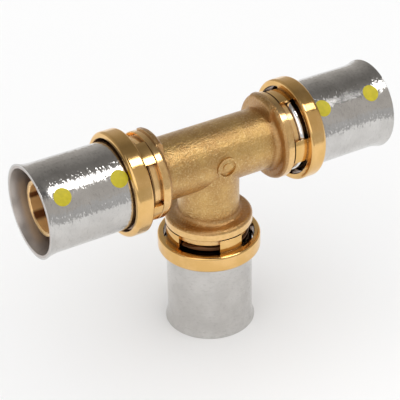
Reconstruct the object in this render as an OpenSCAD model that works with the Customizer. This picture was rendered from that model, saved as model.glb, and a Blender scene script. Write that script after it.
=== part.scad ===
// Equal press tee for 20 x 2 multilayer pipe, brass, with captive steel press sleeves.
// Origin: where the run axis and the branch axis cross. X is along the run, the branch points to -Z.

/* [Arms] */
// crossing to a sleeve's mouth, mm
arm_l = 49.4; // [49:0.1:52]
// outer radius of the forged neck, mm
neck_r = 8.1; // [7.9:0.1:8.6]
// radius of the waterway, mm
bore_r = 6; // [5.4:0.1:6.2]
// radius of the forged flange and the ring's teeth, mm
flange_r = 11.3; // [11.2:0.1:11.6]
// crossing to the flange's front face, mm
flange_s = 19; // [18.6:0.1:19.4]
// length of the flange's machined rim, mm
rim_l = 2; // [1.6:0.1:2.2]

/* [Nipple] */
// radius of the nipple's lands, which the pipe slides over, mm
nipple_r = 7.9; // [7.7:0.05:7.95]
// how far the nipple's tip stands behind the sleeve's mouth, mm
tip_back = 2.7; // [2:0.1:4]
// thickness of an O-ring's cord, mm
cord_d = 1.15; // [0.9:0.05:1.2]

/* [Press sleeve] */
// outer radius of the sleeve, mm
sleeve_r = 11.2; // [11.1:0.05:11.4]
// wall of the sleeve, mm
sleeve_t = 1; // [0.9:0.05:1.1]
// length of the flared mouth, mm
flare_l = 3.8; // [3:0.1:4.5]
// how much the mouth flares outwards, mm
flare_h = 0.68; // [0.4:0.02:0.8]
// diameter of a printed size-colour dot, mm
dot_d = 4.4; // [3:0.1:5]

/* [Retaining ring] */
// outer radius of the ring's collar, mm
collar_r = 13.4; // [13.2:0.1:13.8]
// length of the ring's collar, mm
collar_l = 4.5; // [4.2:0.1:4.8]
// angle of one tooth, degrees
tooth_a = 33; // [26:1:44]
// turn of the left ring's teeth about its port, degrees
turn_left = 29; // [0:1:89]
// turn of the right ring's teeth about its port, degrees
turn_right = 2; // [0:1:89]
// turn of the branch ring's teeth about its port, degrees
turn_branch = 0; // [0:1:89]

/* [Hidden] */
$fn = 72;
arc_fn = 360;                    // the flare is a short piece of a large circle
eps = 0.5;                       // overlap that keeps a cut clean
slack = 0.08;                    // running clearance of the captive sleeve
brass = [0.80, 0.62, 0.36];
forged = [0.72, 0.55, 0.30];
steel = [0.72, 0.72, 0.73];
black = [0.07, 0.07, 0.08];
yellow = [0.82, 0.74, 0.20];

// flange and spigot
back_fillet = 1.3;               // concave root between neck and flange
back_round = 1.1;                // rounded back edge of the flange
rim_edge = 0.2;                  // chamfer on the rim's front edge
flange_back_s = flange_s - rim_l - 0.7;
spigot_r = 10.2;
seat_s = flange_s + 2.1;         // end of the seat the ring is pressed on
seat_edge = 0.25;
groove_r = 8.85;                 // groove the sleeve's rolled end turns in
groove_l = 1.25;
shoulder_r = 9.25;
shoulder_s = seat_s + groove_l;
shoulder_end = flange_s + 4.85;
washer_l = 1.1;
stop_s = shoulder_end + washer_l;

neck_step = 0.15;                // the branch's neck is this much slimmer than the run's

// forged pad on the upper back of the run's flanges, left proud by the die
pad_h = 0.35;
pad_s = 15.3;
pad_w = 9.6;
pad_round = 1.2;
pad_end = flange_s - rim_l + 0.3;

// nipple
root_r = 7.6;
tip_s = arm_l - tip_back;
tip_r = 6.95;
lead_l = 1.9;
ring_groove_w = 1.75;
ring_groove_r = nipple_r + 0.2 - cord_d;
ring_1_s = stop_s + 5.2;
ring_2_s = ring_1_s + 6.4;
barb_s = ring_2_s + 2.6;
barb_n = 4;
barb_h = 0.35;
barb_land = 0.3;
barb_end = tip_s - lead_l - barb_land;   // a land is left between the barbs and the tip's lead
barb_l = (barb_end - barb_s) / barb_n;
tip_chamfer = 0.3;

// sleeve
lip_s = seat_s + 0.1;
lip_t = 1;
lip_r = groove_r + slack;
throat_r = 9.5;                  // inside of the necked end
throat_out = throat_r + sleeve_t;
roll_r = 1.1;
cone_s = flange_s + 5;
cone_l = 0.9;
wall_s = cone_s + cone_l;
sleeve_in = sleeve_r - sleeve_t;
flare_s = arm_l - flare_l;
flare_r = (flare_l * flare_l + flare_h * flare_h) / (2 * flare_h);
dot_h = 0.06;                    // the printed dots stand this far out
dot_gap = 0.01;                  // and their backs clear the curved steel by this much

// retaining ring
seam = 0.15;                     // thin joint between teeth and flange
ring_s = flange_s + seam;
foot_end = seat_s - 0.1;
tube_in = throat_out + 0.1;
collar_s = flange_s + 3.7;
web_l = 1.15;
back_edge = 0.7;
front_round = 0.9;
collar_in = 11.85;
mouth_edge = 0.15;
teeth = 4;
tooth_root_r = spigot_r - 1;     // the windows are cut in to here
tooth_reach = 16;                // past the ring's outside

// forging mark
mark_x = 0.7;
mark_root = 1;                   // how far its solid reaches into the neck
mark_r = 2.8;
mark_w = 0.5;
mark_h = 0.3;
mark_boss_r = 1.1;

// turns a shape built on +Z onto a port; the turn counts from the top of a run port towards the front
module left(turn = 0) rotate([0, -90, 0]) rotate([0, 0, -turn]) children();
module right(turn = 0) rotate([0, 90, 0]) rotate([0, 0, 180 + turn]) children();
module branch(turn = 0) rotate([180, 0, 0]) rotate([0, 0, 90 + turn]) children();

// ---- tee body ----
// outline of one arm from its neck to the nipple's tip, [radius, distance from the crossing]
function barb_points(i) = [[nipple_r, barb_s + i * barb_l], [nipple_r, barb_s + i * barb_l + barb_land],
                           [nipple_r - barb_h, barb_s + (i + 1) * barb_l]];
function groove_points(s) = [[nipple_r, s - ring_groove_w / 2], [ring_groove_r, s - ring_groove_w / 2],
                             [ring_groove_r, s + ring_groove_w / 2], [nipple_r, s + ring_groove_w / 2]];
function arm_points(neck) = concat(
    [[neck, flange_back_s - back_fillet], [neck + back_fillet, flange_back_s - back_fillet],
     [neck + back_fillet, flange_back_s], [flange_r - back_round, flange_back_s],
     [flange_r - back_round, flange_back_s + back_round], [flange_r, flange_back_s + back_round],
     [flange_r, flange_s - rim_edge], [flange_r - rim_edge, flange_s],
     [spigot_r, flange_s], [spigot_r, seat_s - seat_edge], [spigot_r - seat_edge, seat_s],
     [groove_r, seat_s], [groove_r, shoulder_s],
     [shoulder_r, shoulder_s], [shoulder_r, shoulder_end], [root_r, shoulder_end],
     [root_r, stop_s], [nipple_r, stop_s]],
    groove_points(ring_1_s), groove_points(ring_2_s),
    [for (i = [0 : barb_n - 1]) each barb_points(i)],
    [[nipple_r, barb_end], [nipple_r, tip_s - lead_l], [tip_r, tip_s], [0, tip_s]]);

module run() rotate([0, 90, 0]) rotate_extrude() difference() {
    pts = arm_points(neck_r);
    union() {
        polygon(concat([for (i = [len(pts) - 1 : -1 : 0]) [pts[i][0], -pts[i][1]]], pts));
        for (side = [-1, 1]) translate([flange_r - back_round, side * (flange_back_s + back_round)])
            circle(back_round);
    }
    for (side = [-1, 1]) translate([neck_r + back_fillet, side * (flange_back_s - back_fillet)])
        circle(back_fillet);
}

module branch_arm() branch() rotate_extrude() difference() {
    neck = neck_r - neck_step;
    union() {
        polygon(concat([[0, 0], [neck, 0]], arm_points(neck)));
        translate([flange_r - back_round, flange_back_s + back_round]) circle(back_round);
    }
    translate([neck + back_fillet, flange_back_s - back_fillet]) circle(back_fillet);
}

module forged_pads() for (side = [-1, 1]) intersection() {
    rotate([0, 90 * side, 0]) rotate_extrude() {
        translate([0, pad_s]) square([flange_r + pad_h - pad_round, pad_end - pad_s]);
        translate([0, pad_s + pad_round])
            square([flange_r + pad_h, pad_end - pad_s - pad_round]);
        translate([flange_r + pad_h - pad_round, pad_s + pad_round]) circle(pad_round);
    }
    translate([-arm_l, -pad_w / 2, 0]) cube([2 * arm_l, pad_w, 2 * flange_r]);
}

// a plain raised ring with a boss in it
module forging_mark() translate([mark_x, -neck_r, 0]) rotate([90, 0, 0]) {
    difference() {
        translate([0, 0, -mark_root]) cylinder(r = mark_r, h = mark_root + mark_h);
        translate([0, 0, -mark_h]) cylinder(r = mark_r - mark_w, h = mark_root);
    }
    translate([0, 0, -mark_root]) cylinder(r = mark_boss_r, h = mark_root + mark_h / 2);
}

module tee_body() color(forged) difference() {
    union() {
        run();
        branch_arm();
        forged_pads();
        forging_mark();
    }
    translate([-tip_s - eps, 0, 0]) rotate([0, 90, 0]) cylinder(r = bore_r, h = 2 * (tip_s + eps));
    translate([0, 0, -tip_s - eps]) cylinder(r = bore_r, h = tip_s + eps);
    for (side = [-1, 1])
        translate([side * tip_s, 0, 0]) rotate([0, -90 * side, 0]) tip_edge();
    translate([0, 0, -tip_s]) tip_edge();
}

// cuts the chamfer inside a nipple's tip
module tip_edge() translate([0, 0, -eps]) rotate_extrude()
    polygon([[0, 0], [bore_r + tip_chamfer + eps, 0], [bore_r, tip_chamfer + eps],
             [0, tip_chamfer + eps]]);

// ---- retaining ring ----
module ring_2d() {
    // foot pressed on the spigot, then the teeth
    translate([spigot_r, ring_s]) square([flange_r - spigot_r, foot_end - ring_s]);
    translate([tube_in, ring_s]) square([flange_r - tube_in, collar_s - ring_s + eps]);
    // web that reaches in behind the sleeve's shoulder
    translate([tube_in, collar_s]) square([collar_in + eps - tube_in, web_l]);
    collar_2d();
}

module collar_2d() {
    top = collar_s + collar_l;
    polygon([[collar_in, collar_s], [collar_r - back_edge, collar_s],
             [collar_r - back_edge, collar_s + back_edge], [collar_r, collar_s + back_edge],
             [collar_r, top - front_round], [collar_r - front_round, top - front_round],
             [collar_r - front_round, top], [collar_in + mouth_edge, top],
             [collar_in, top - mouth_edge]]);
    translate([collar_r - back_edge, collar_s + back_edge]) circle(back_edge);
    translate([collar_r - front_round, top - front_round]) circle(front_round);
}

module window_cut() {
    half = (360 / teeth - tooth_a) / 2;
    cut_l = collar_s + web_l - ring_s + 2 * eps;
    intersection() {
        translate([0, 0, ring_s - eps]) difference() {
            cylinder(r = collar_in, h = cut_l);
            translate([0, 0, -eps]) cylinder(r = tooth_root_r, h = cut_l + 2 * eps);
        }
        for (i = [0 : teeth - 1]) rotate([0, 0, (i + 0.5) * 360 / teeth])
            translate([0, 0, ring_s - 2 * eps]) linear_extrude(height = cut_l + 2 * eps)
                polygon([[0, 0], [tooth_reach * cos(half), -tooth_reach * sin(half)],
                         [tooth_reach * cos(half), tooth_reach * sin(half)]]);
    }
}

module ring() difference() { rotate_extrude() ring_2d(); window_cut(); }

module retaining_ring_left() color(brass) left(turn_left) ring();
module retaining_ring_right() color(brass) right(turn_right) ring();
module retaining_ring_branch() color(brass) branch(turn_branch) ring();

// ---- press sleeve ----
// a layer t thick of the sleeve's wall, with its outside at radius r, from the shoulder to the mouth;
// the mouth flares on an arc that starts along the wall
module wall_2d(r, t) {
    translate([r - t, wall_s]) square([t, flare_s - wall_s]);
    intersection() {
        translate([sleeve_r + flare_r, flare_s]) difference() {
            circle(flare_r + sleeve_r - r + t, $fn = arc_fn);
            circle(flare_r + sleeve_r - r, $fn = arc_fn);
        }
        translate([r - t, flare_s]) square([t + flare_h, flare_l]);
    }
}

module sleeve_2d() {
    // rolled-in end
    difference() {
        union() {
            translate([lip_r, lip_s]) square([throat_out - roll_r - lip_r, lip_t]);
            translate([throat_out - roll_r, lip_s + roll_r]) circle(roll_r);
        }
        translate([0, lip_s + lip_t]) square([throat_r, 2 * roll_r]);
        translate([0, lip_s + roll_r]) square([throat_out + eps, 2 * roll_r]);
        square([lip_r, arm_l]);
    }
    translate([throat_r, lip_s + roll_r]) square([sleeve_t, cone_s - lip_s - roll_r]);
    // shoulder that opens to the full bore
    polygon([[throat_r, cone_s], [throat_out, cone_s], [sleeve_r, wall_s], [sleeve_in, wall_s]]);
    wall_2d(sleeve_r, sleeve_t);
}

module sleeve() rotate_extrude() sleeve_2d();

module press_sleeve_left() color(steel) left() sleeve();
module press_sleeve_right() color(steel) right() sleeve();
module press_sleeve_branch() color(steel) branch() sleeve();

// ---- O-rings ----
module o_ring(s) translate([0, 0, s]) rotate_extrude()
    translate([ring_groove_r + cord_d / 2, 0]) circle(cord_d / 2);

module o_ring_inner_left() color(black) left() o_ring(ring_1_s);
module o_ring_outer_left() color(black) left() o_ring(ring_2_s);
module o_ring_inner_right() color(black) right() o_ring(ring_1_s);
module o_ring_outer_right() color(black) right() o_ring(ring_2_s);
module o_ring_inner_branch() color(black) branch() o_ring(ring_1_s);
module o_ring_outer_branch() color(black) branch() o_ring(ring_2_s);

// ---- insulating rings ----
module washer() translate([0, 0, shoulder_end]) difference() {
    cylinder(r = throat_r - 0.1, h = washer_l);
    translate([0, 0, -eps]) cylinder(r = root_r, h = washer_l + 2 * eps);
}

module insulating_ring_left() color(black) left() washer();
module insulating_ring_right() color(black) right() washer();
module insulating_ring_branch() color(black) branch() washer();

// ---- printed dots: two in line along each sleeve ----
dot_inner_s = 29.5;
dot_outer_s = 44.4;
dot_left = 50;
dot_right = 44;
dot_branch = 180;
module dot(s) color(yellow) intersection() {
    rotate_extrude() wall_2d(sleeve_r + dot_h, dot_h - dot_gap);
    translate([0, 0, s]) rotate([0, 90, 0]) cylinder(d = dot_d, h = 2 * sleeve_r);
}

module colour_dot_inner_left() left(dot_left) dot(dot_inner_s);
module colour_dot_outer_left() left(dot_left) dot(dot_outer_s);
module colour_dot_inner_right() right(dot_right) dot(dot_inner_s);
module colour_dot_outer_right() right(dot_right) dot(dot_outer_s);
module colour_dot_inner_branch() branch(dot_branch) dot(dot_inner_s);
module colour_dot_outer_branch() branch(dot_branch) dot(dot_outer_s);

tee_body();
retaining_ring_left();
retaining_ring_right();
retaining_ring_branch();
press_sleeve_left();
press_sleeve_right();
press_sleeve_branch();
o_ring_inner_left();
o_ring_outer_left();
o_ring_inner_right();
o_ring_outer_right();
o_ring_inner_branch();
o_ring_outer_branch();
insulating_ring_left();
insulating_ring_right();
insulating_ring_branch();
colour_dot_inner_left();
colour_dot_outer_left();
colour_dot_inner_right();
colour_dot_outer_right();
colour_dot_inner_branch();
colour_dot_outer_branch();
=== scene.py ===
import math

import bpy
from mathutils import Matrix, Vector


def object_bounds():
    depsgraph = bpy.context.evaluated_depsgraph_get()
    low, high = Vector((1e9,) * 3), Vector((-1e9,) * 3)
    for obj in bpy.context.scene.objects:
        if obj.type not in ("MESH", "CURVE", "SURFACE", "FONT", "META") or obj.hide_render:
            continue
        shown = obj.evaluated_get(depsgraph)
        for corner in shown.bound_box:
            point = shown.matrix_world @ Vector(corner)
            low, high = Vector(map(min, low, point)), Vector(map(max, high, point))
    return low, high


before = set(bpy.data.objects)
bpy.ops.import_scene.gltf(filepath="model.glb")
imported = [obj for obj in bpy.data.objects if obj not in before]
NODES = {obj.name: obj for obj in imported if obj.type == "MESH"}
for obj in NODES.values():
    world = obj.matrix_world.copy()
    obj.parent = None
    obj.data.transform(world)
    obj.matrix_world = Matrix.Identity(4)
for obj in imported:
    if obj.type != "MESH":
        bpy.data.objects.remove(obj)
BOX_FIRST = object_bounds()
PORTS = ("left", "right", "branch")
MM = 0.001

# places on the fitting; what ends in _S is measured from the crossing, out along an arm
BORE_R = 6.0 * MM                # the waterway
FLANGE_SHADE_S = 13.8 * MM               # the painted brown shade in the recess before a flange begins
RIM_S = 17.0 * MM                # a flange's turned rim begins
SEAT_S = 19.6 * MM               # from here out the turned brass is duller
COLLAR_S = 22.7 * MM             # a collar's bore begins
COLLAR_IN = 11.85 * MM           # radius of that bore
ROLL_S = 22.8 * MM               # a sleeve's rolled end is nearer the crossing than this
SLEEVE_S = 24.6 * MM             # in the cone just before a sleeve's straight wall
SLEEVE_IN = 10.7 * MM            # between that wall's inner and outer faces
FLARE_S = 45.6 * MM              # a sleeve's mouth begins to flare
FLARE_R = 10.95 * MM             # radius of the flare's arc
FLOOR_Z = BOX_FIRST[0][2]

# colours of the brass
SKIN_BROWN = (0.48, 0.260, 0.070, 1)
SKIN_GOLD = (0.63, 0.380, 0.112, 1)
SKIN_SPECK = (0.86, 0.65, 0.30, 1)
# painted shade: brown for the recess before each flange
FLANGE_SHADE_BROWN = (0.40, 0.185, 0.060, 1)
TURNED_DARK = (0.77, 0.475, 0.17, 1)
TURNED_LIGHT = (0.86, 0.55, 0.225, 1)
# painted shade for corners and crevices
CORNER_SHADE_COLOUR = (0.24, 0.11, 0.045, 1)
# painted light: the waterway's colour is lightened to stand in for light reaching into it
WATERWAY_PAINTED_LIGHT = (0.98, 0.66, 0.30, 1)
# painted reflection: dark bands in the run's waterway
BORE_REFLECTION_BAND = (0.17, 0.065, 0.02, 1)
# painted shade: the collar's bore
COLLAR_BORE_SHADE = (0.16, 0.075, 0.025, 1)

# colours of the steel
STEEL_DARK = (0.545, 0.53, 0.51, 1)
STEEL_LIGHT = (0.64, 0.625, 0.605, 1)
STEEL_MARKS = (0.36, 0.35, 0.335, 1)
# painted shade and a painted reflection of the brass, inside a sleeve
MOUTH_SHADE_AND_REFLECTION = (0.44, 0.39, 0.355, 1)
DEEP_SHADE_AND_REFLECTION = (0.36, 0.225, 0.15, 1)
# painted highlight on the run's rolled ends, painted dark reflection on the branch's
ROLL_PAINTED_HIGHLIGHT = (0.92, 0.91, 0.90, 1)
ROLL_PAINTED_DARK = (0.10, 0.045, 0.02, 1)


def grey(level):
    return (level, level, level, 1)


# ---------------------------------------------------------------- node helpers
class Graph:
    """A small wrapper that makes shader nodes and their links short to write."""

    def __init__(self, owner):
        self.owner = owner
        owner.use_nodes = True
        self.tree = owner.node_tree
        self.tree.nodes.clear()

    def node(self, kind, **props):
        n = self.tree.nodes.new(kind)
        for k, v in props.items():
            setattr(n, k, v)
        return n

    def link(self, a, b):
        self.tree.links.new(a, b)

    def put(self, socket, value):
        """Links a socket's output, or sets a plain value."""
        if isinstance(value, bpy.types.NodeSocket):
            self.link(value, socket)
        else:
            socket.default_value = value

    # arithmetic
    def math(self, op, a, b=None):
        n = self.node("ShaderNodeMath", operation=op)
        self.put(n.inputs[0], a)
        if b is not None:
            self.put(n.inputs[1], b)
        return n.outputs[0]

    def add(self, a, b):
        return self.math("ADD", a, b)

    def sub(self, a, b):
        return self.math("SUBTRACT", a, b)

    def mul(self, a, b):
        return self.math("MULTIPLY", a, b)

    def larger(self, a, b):
        return self.math("MAXIMUM", a, b)

    def absolute(self, a):
        return self.math("ABSOLUTE", a)

    def hypot(self, a, b):
        return self.math("SQRT", self.add(self.mul(a, a), self.mul(b, b)))

    def vector(self, op, a, b=None, scale=None):
        n = self.node("ShaderNodeVectorMath", operation=op)
        self.put(n.inputs[0], a)
        if b is not None:
            self.put(n.inputs[1], b)
        if scale is not None:
            self.put(n.inputs["Scale"], scale)
        return n.outputs[0]

    def span(self, value, lo, hi, out_lo=0.0, out_hi=1.0):
        """Goes smoothly from out_lo to out_hi as the value goes from lo to hi, which may be the smaller."""
        n = self.node("ShaderNodeMapRange", clamp=True, interpolation_type="SMOOTHSTEP")
        self.put(n.inputs["Value"], value)
        for k, v in (("From Min", lo), ("From Max", hi), ("To Min", out_lo), ("To Max", out_hi)):
            n.inputs[k].default_value = v
        return n.outputs[0]

    def mix(self, fac, a, b):
        n = self.node("ShaderNodeMix", data_type="RGBA")
        self.put(n.inputs[0], fac)
        self.put(n.inputs[6], a)
        self.put(n.inputs[7], b)
        return n.outputs[2]

    def mix_vectors(self, fac, a, b):
        n = self.node("ShaderNodeMix", data_type="VECTOR")
        self.put(n.inputs[0], fac)
        self.put(n.inputs[4], a)
        self.put(n.inputs[5], b)
        return n.outputs[1]

    # coordinates
    def coords(self):
        return self.node("ShaderNodeTexCoord").outputs["Object"]

    def split(self, vec):
        n = self.node("ShaderNodeSeparateXYZ")
        self.link(vec, n.inputs[0])
        return n.outputs

    def join(self, x, y, z):
        n = self.node("ShaderNodeCombineXYZ")
        for i, v in enumerate((x, y, z)):
            self.put(n.inputs[i], v)
        return n.outputs[0]

    def around(self, axis):
        """Round a port's axis: the angle in radians, the distance along and the radius in metres."""
        x, y, z = self.split(self.coords())
        along, a, b = (x, y, z) if axis == "x" else (z, x, y)
        return self.math("ARCTAN2", a, b), along, self.hypot(a, b)

    # texture
    def noise(self, vec, scale, detail=3.0, rough=0.5):
        n = self.node("ShaderNodeTexNoise")
        self.link(vec, n.inputs["Vector"])
        n.inputs["Scale"].default_value = scale
        n.inputs["Detail"].default_value = detail
        n.inputs["Roughness"].default_value = rough
        return n.outputs["Fac"]

    def marks(self, angle, along, per_radian, per_metre, detail, rough):
        """Noise drawn out round a port's axis."""
        drawn = self.join(self.mul(angle, per_radian), self.mul(along, per_metre), 0.0)
        return self.noise(drawn, 1.0, detail, rough)

    def bump(self, height, distance, strength=1.0, normal=None):
        n = self.node("ShaderNodeBump")
        n.inputs["Strength"].default_value = strength
        n.inputs["Distance"].default_value = distance
        self.link(height, n.inputs["Height"])
        if normal is not None:
            self.link(normal, n.inputs["Normal"])
        return n.outputs[0]

    def rounded(self, radius):
        n = self.node("ShaderNodeBevel", samples=4)
        n.inputs["Radius"].default_value = radius
        return n.outputs[0]

    def shade_corners(self, base, shade_colour, reach, lo, hi):
        """Painted shade: a darker colour where the surface is crowded by others within reach."""
        n = self.node("ShaderNodeAmbientOcclusion", samples=4)
        n.inputs["Distance"].default_value = reach
        return self.mix(self.span(n.outputs["AO"], lo, hi), shade_colour, base)

    def shader(self, base, metallic, roughness, normal=None, extra=None):
        s = self.node("ShaderNodeBsdfPrincipled")
        self.put(s.inputs["Base Color"], base)
        self.put(s.inputs["Metallic"], metallic)
        self.put(s.inputs["Roughness"], roughness)
        if normal is not None:
            self.link(normal, s.inputs["Normal"])
        for k, v in (extra or {}).items():
            self.put(s.inputs[k], v)
        out = self.node("ShaderNodeOutputMaterial")
        self.link(s.outputs[0], out.inputs["Surface"])
        return self.owner


def material(name):
    return Graph(bpy.data.materials.new(name))


# ---------------------------------------------------------------- materials
def waterway(g, a, b):
    """Mask of the points inside a waterway, from the two coordinates across its axis."""
    return g.span(g.hypot(a, b), BORE_R + 0.2 * MM, BORE_R + 0.05 * MM)


def turned_colour(g, stain):
    """Turned brass, with painted shade in its corners."""
    unshaded = g.mix(stain, TURNED_DARK, TURNED_LIGHT)
    return g.shade_corners(unshaded, CORNER_SHADE_COLOUR, 1.2 * MM, 0.35, 0.9)


def forged_brass():
    """Hot forged and blasted brass; the flange rims, seats and nipples are turned bright."""
    g = material("forged_brass")
    co = g.coords()
    x, y, z = g.split(co)
    # distance out from the crossing along whichever arm the point is on
    arm = g.larger(g.absolute(x), g.mul(z, -1.0))
    turned = g.span(arm, RIM_S, RIM_S + 0.25 * MM)
    seat = g.span(arm, SEAT_S, SEAT_S + 0.3 * MM)
    # the branch's waterway only counts below the crossing, or the neck's top would be in it
    in_bore = g.larger(waterway(g, y, z), g.mul(waterway(g, y, x), g.span(z, -3 * MM, -4 * MM)))
    grain = g.noise(co, 2300.0, 2.0, 0.6)
    lumps = g.noise(co, 950.0, 3.0, 0.6)
    patches = g.noise(co, 130.0, 3.0, 0.6)

    # golden skin with browner patches and fine speckle, and a painted brown shade, mottled, in the recess
    # where the flanges begin
    skin = g.mix(g.span(patches, 0.35, 0.68), SKIN_BROWN, SKIN_GOLD)
    skin = g.mix(g.span(grain, 0.45, 0.8, 0.0, 0.7), skin, SKIN_SPECK)
    brown = g.mul(g.span(arm, FLANGE_SHADE_S, FLANGE_SHADE_S + 1.8 * MM), g.span(patches, 0.3, 0.6, 0.1, 0.6))
    skin = g.mix(brown, skin, FLANGE_SHADE_BROWN)
    base = g.mix(turned, skin, turned_colour(g, g.span(lumps, 0.3, 0.7)))

    # two brown painted reflection bands along the run's waterway, the same distance above and below one
    # level
    level, apart = -1.9 * MM, 2.4 * MM
    off_band = g.absolute(g.sub(g.absolute(g.sub(z, level)), apart))
    # painted light: the waterway is a lighter gold, standing in for light reaching into it
    base = g.mix(in_bore, base, WATERWAY_PAINTED_LIGHT)
    base = g.mix(g.mul(in_bore, g.span(off_band, 1.2 * MM, 0.4 * MM)), base, BORE_REFLECTION_BAND)

    rough = g.add(g.span(lumps, 0.3, 0.7, 0.28, 0.36), g.mul(turned, -0.16))
    rough = g.add(rough, g.mul(in_bore, 0.16))
    metal = g.add(g.span(turned, 0.0, 1.0, 0.94, 1.0), g.mul(g.larger(in_bore, seat), -0.35))
    blast = g.bump(lumps, 0.14 * MM, 0.9, g.bump(grain, 0.17 * MM))
    normal = g.mix_vectors(turned, blast, g.rounded(0.12 * MM))
    return g.shader(base, metal, rough, normal, {
        "Coat Weight": 0.45, "Coat Roughness": 0.26, "Coat IOR": 1.8, "Coat Normal": normal})


def turned_brass(axis):
    """Bright turned brass with faint tool rings."""
    g = material("turned_brass_" + axis)
    angle, along, radius = g.around(axis)
    per_metre = 9000.0
    rings = g.noise(g.join(g.mul(along, per_metre), g.mul(radius, per_metre), angle), 1.0, 2.0)
    stain = g.noise(g.coords(), 220.0, 3.0, 0.6)
    base = turned_colour(g, g.span(stain, 0.35, 0.7))
    # the collar's bore is painted dark, a painted shade in the gap round the sleeve
    bore = g.mul(g.span(radius, COLLAR_IN + 0.1 * MM, COLLAR_IN + 0.02 * MM),
                 g.span(g.absolute(along), COLLAR_S + 0.05 * MM, COLLAR_S + 0.2 * MM))
    base = g.mix(bore, base, COLLAR_BORE_SHADE)
    rough = g.span(stain, 0.3, 0.7, 0.10, 0.18)
    return g.shader(base, 1.0, rough, g.bump(rings, 0.012 * MM, 0.25, g.rounded(0.15 * MM)))


def stainless(axis):
    """Drawn steel: short marks round the sleeve tip its surface a little, which frays reflections."""
    g = material("stainless_" + axis)
    angle, along, radius = g.around(axis)
    out = g.absolute(along)
    fray = g.marks(angle, along, 9.0, 1500.0, 5.0, 0.75)
    blotch = g.marks(angle, along, 5.0, 260.0, 3.0, 0.6)
    nicks = g.marks(angle, along, 13.0, 2300.0, 2.0, 0.6)
    mottle = g.noise(g.coords(), 160.0, 4.0, 0.6)

    # the flare lifts the wall by about the square of the way along it, over twice the arc's radius
    way = g.larger(g.sub(out, FLARE_S), 0.0)
    lift = g.math("DIVIDE", g.mul(way, way), 2 * FLARE_R)
    inside = g.span(g.sub(radius, lift), SLEEVE_IN + 0.15 * MM, SLEEVE_IN)
    inside = g.mul(inside, g.span(out, SLEEVE_S, SLEEVE_S + 0.3 * MM))
    rolled = g.span(out, ROLL_S + 0.2 * MM, ROLL_S)
    smooth = g.larger(inside, rolled)
    keep = g.sub(1.0, smooth)

    base = g.mix(g.span(mottle, 0.3, 0.7), STEEL_DARK, STEEL_LIGHT)
    base = g.mix(g.span(fray, 0.52, 0.72, 0.0, 0.6), base, STEEL_MARKS)
    # the inside is duller, and painted darker and browner further in: painted shade and a painted
    # reflection of the brass
    deep = g.span(out, FLARE_S + 0.4 * MM, FLARE_S - 2.1 * MM)
    base = g.mix(g.mul(inside, 0.85), base, g.mix(deep, MOUTH_SHADE_AND_REFLECTION, DEEP_SHADE_AND_REFLECTION))
    # the branch's rolled end is painted dark, a painted dark reflection, and the run's are painted near
    # white, a painted highlight
    base = g.mix(rolled, base, ROLL_PAINTED_DARK if axis == "z" else ROLL_PAINTED_HIGHLIGHT)

    worn = g.add(g.span(fray, 0.3, 0.7, 0.08, 0.16), g.span(blotch, 0.3, 0.7, 0.0, 0.06))
    rough = g.add(g.mul(worn, keep), g.add(g.mul(inside, 0.28), g.mul(rolled, 0.1)))
    metal = g.span(inside, 0.0, 1.0, 1.0, 0.78)

    # tip the normal round the sleeve, with deeper nicks one way
    tilt = g.add(g.mul(g.sub(fray, 0.5), 0.50), g.mul(g.sub(blotch, 0.5), 0.12))
    tilt = g.mul(g.sub(tilt, g.span(nicks, 0.56, 0.68, 0.0, 0.16)), keep)
    normal = g.rounded(0.2 * MM)
    side = g.vector("CROSS_PRODUCT", normal, (1, 0, 0) if axis == "x" else (0, 0, 1))
    normal = g.vector("NORMALIZE", g.vector("ADD", normal, g.vector("SCALE", side, scale=tilt)))
    return g.shader(base, metal, rough, normal)


def rubber():
    g = material("black_rubber")
    dust = g.noise(g.coords(), 900.0)
    base = g.mix(g.span(dust, 0.4, 0.75), (0.012, 0.012, 0.013, 1), (0.05, 0.048, 0.045, 1))
    return g.shader(base, 0.0, g.span(dust, 0.3, 0.7, 0.38, 0.6), g.bump(dust, 0.02 * MM, 0.4))


def plastic():
    g = material("black_plastic")
    speck = g.noise(g.coords(), 1500.0, 2.0)
    base = g.mix(g.span(speck, 0.4, 0.7), (0.014, 0.014, 0.016, 1), (0.035, 0.035, 0.038, 1))
    return g.shader(base, 0.0, g.span(speck, 0.3, 0.7, 0.45, 0.6), g.bump(speck, 0.02 * MM, 0.4))


def print_yellow():
    g = material("yellow_print")
    wear = g.noise(g.coords(), 900.0, 4.0, 0.65)
    base = g.mix(g.span(wear, 0.3, 0.72), (0.46, 0.39, 0.012, 1), (0.56, 0.46, 0.02, 1))
    return g.shader(base, 0.0, g.span(wear, 0.3, 0.7, 0.42, 0.6), g.bump(wear, 0.01 * MM, 0.5),
                    {"Specular IOR Level": 0.3})


def floor_paint():
    g = material("floor_paint")
    tone = g.noise(g.coords(), 3.0, 2.0)
    base = g.mix(g.span(tone, 0.3, 0.7), grey(0.90), grey(0.93))
    return g.shader(base, 0.0, 0.8)


def glow_paint(name, level):
    g = material(name)
    glow = g.node("ShaderNodeEmission")
    glow.inputs["Color"].default_value = grey(level)
    glow.inputs["Strength"].default_value = 1.0
    g.link(glow.outputs[0], g.node("ShaderNodeOutputMaterial").inputs["Surface"])
    return g.owner


# ---------------------------------------------------------------- pieces
def dress(name, paint):
    ob = NODES[name]
    ob.data.materials.clear()
    ob.data.materials.append(paint)


BRASS = {"x": turned_brass("x"), "z": turned_brass("z")}
STEEL = {"x": stainless("x"), "z": stainless("z")}
RUBBER, PLASTIC, YELLOW = rubber(), plastic(), print_yellow()
dress("tee_body", forged_brass())
for port in PORTS:
    axis = "z" if port == "branch" else "x"
    dress("retaining_ring_" + port, BRASS[axis])
    dress("press_sleeve_" + port, STEEL[axis])
    dress("insulating_ring_" + port, PLASTIC)
    for place in ("inner_", "outer_"):
        dress("o_ring_" + place + port, RUBBER)
        dress("colour_dot_" + place + port, YELLOW)


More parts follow.
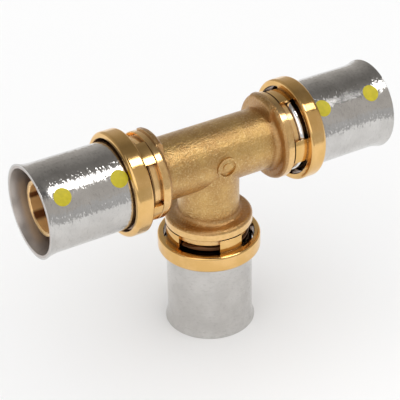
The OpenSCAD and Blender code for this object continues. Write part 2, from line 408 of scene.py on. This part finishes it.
# ---------------------------------------------------------------- stage
def plane(name, size_x, size_y, centre, paint, turn=(0, 0, 0)):
    bpy.ops.mesh.primitive_plane_add(size=1)
    ob = bpy.context.object
    ob.name = name
    ob.scale = (size_x, size_y, 1)
    ob.location = centre
    ob.rotation_euler = [math.radians(a) for a in turn]
    ob.data.materials.append(paint)
    return ob


def card(name, size_x, size_y, centre, level, turn=(0, 0, 0)):
    """A plane that only reflections see."""
    ob = plane(name, size_x, size_y, centre, glow_paint(name + "_paint", level), turn)
    ob.visible_camera = False
    ob.visible_diffuse = False
    ob.visible_shadow = False
    ob.visible_transmission = False


def lamp(name, kind, power):
    light = bpy.data.lights.new(name, kind)
    light.energy = power
    ob = bpy.data.objects.new(name, light)
    bpy.context.scene.collection.objects.link(ob)
    return ob, light


plane("floor", 3.0, 3.0, (0, 0, FLOOR_Z - 0.02 * MM), floor_paint())
# the front edge of the pale table: past it reflections see the dimmer room
EDGE_H = 0.075
card("room_front", 2.4, EDGE_H, (0, -0.165, FLOOR_Z + EDGE_H / 2), 0.56, turn=(90, 0, 0))

# a softbox above the front, to the right of the crossing, with a dark flag at each end
LAMP_Z = 0.50
STRIP_X, STRIP_Y = 0.196, -0.230
FLAG_Y, FLAG_WIDE = -0.226, 0.24
card("flag_left", 0.26, FLAG_WIDE, (-0.075, FLAG_Y, LAMP_Z), 0.03)
card("flag_right", 0.30, FLAG_WIDE, (0.492, FLAG_Y, LAMP_Z), 0.10)
strip, strip_light = lamp("strip", "AREA", 0.90)
strip_light.shape = "RECTANGLE"
strip_light.size, strip_light.size_y = 0.285, 0.135
strip.location = (STRIP_X, STRIP_Y, LAMP_Z)
towards = Vector((STRIP_X, 0, 0)) - strip.location
strip.rotation_euler = towards.to_track_quat("-Z", "Y").to_euler()
strip.visible_camera = False
strip.visible_diffuse = False

# an even light that only matt surfaces see, so that the floor is pale and its shadow soft
fill, fill_light = lamp("fill", "SUN", 1.3)
fill_light.angle = math.radians(120)
fill.rotation_euler = (math.radians(20), math.radians(-10), 0)
fill.visible_glossy = False

# the room that reflections see, as levels of a warm white:
# 0 is the horizon in front, 0.5 is overhead, 1 is the horizon behind
ROOM_LEVELS = ((0.0, 0.58), (0.26, 0.56), (0.42, 0.24), (0.60, 0.20), (0.78, 0.36), (1.0, 0.60))
ROOM_TINT = (1.0, 0.955, 0.90)
LEFT_LEVEL = 1.35                # the front left of the room is a pale wall
MATT_LEVEL = 0.72                # matt surfaces see an even grey room


def room_ramp(g, place):
    ramp = g.node("ShaderNodeValToRGB")
    g.link(place, ramp.inputs[0])
    stops = ramp.color_ramp.elements
    while len(stops) > 1:
        stops.remove(stops[-1])
    for i, (pos, level) in enumerate(ROOM_LEVELS):
        stop = stops[0] if i == 0 else stops.new(pos)
        stop.position = pos
        stop.color = [level * t for t in ROOM_TINT] + [1]
    return ramp.outputs[0]


def room():
    world = bpy.data.worlds.new("studio")
    bpy.context.scene.world = world
    g = Graph(world)
    x, y, z = g.split(g.node("ShaderNodeTexCoord").outputs["Generated"])
    arc = g.math("DIVIDE", g.math("ARCTAN2", z, g.mul(y, -1.0)), math.pi)
    left = g.mul(g.span(x, -0.05, -0.4), g.span(y, 0.0, -0.3))
    rays = g.node("ShaderNodeLightPath").outputs
    seen = g.mix(left, room_ramp(g, arc), grey(LEFT_LEVEL))
    seen = g.mix(rays["Is Diffuse Ray"], seen, grey(MATT_LEVEL))
    back = g.node("ShaderNodeBackground")
    g.link(g.mix(rays["Is Camera Ray"], seen, grey(1.0)), back.inputs["Color"])
    g.link(back.outputs[0], g.node("ShaderNodeOutputWorld").inputs["Surface"])


room()

# ---------------------------------------------------------------- camera
AZ, EL, ROLL = (math.radians(a) for a in (30.455, 32.768, -1.049))
DIST, LENS = 0.36126, 129.44
AIM_RIGHT, AIM_UP = -1.954 * MM, -11.457 * MM


def camera():
    to_cam = Vector((-math.sin(AZ) * math.cos(EL), -math.cos(AZ) * math.cos(EL), math.sin(EL)))
    side = Vector((math.cos(AZ), -math.sin(AZ), 0))
    up = to_cam.cross(side)
    right = math.cos(ROLL) * side + math.sin(ROLL) * up
    upright = -math.sin(ROLL) * side + math.cos(ROLL) * up
    aim = AIM_RIGHT * right + AIM_UP * upright
    cam = bpy.data.cameras.new("camera")
    cam.lens = LENS
    cam.sensor_width = 36
    cam.clip_start, cam.clip_end = 0.01, 20
    ob = bpy.data.objects.new("camera", cam)
    bpy.context.scene.collection.objects.link(ob)
    turn = Matrix((right, upright, to_cam)).transposed().to_4x4()
    ob.matrix_world = Matrix.Translation(aim + DIST * to_cam) @ turn
    bpy.context.scene.camera = ob


camera()
bpy.context.scene.view_settings.view_transform = "Standard"
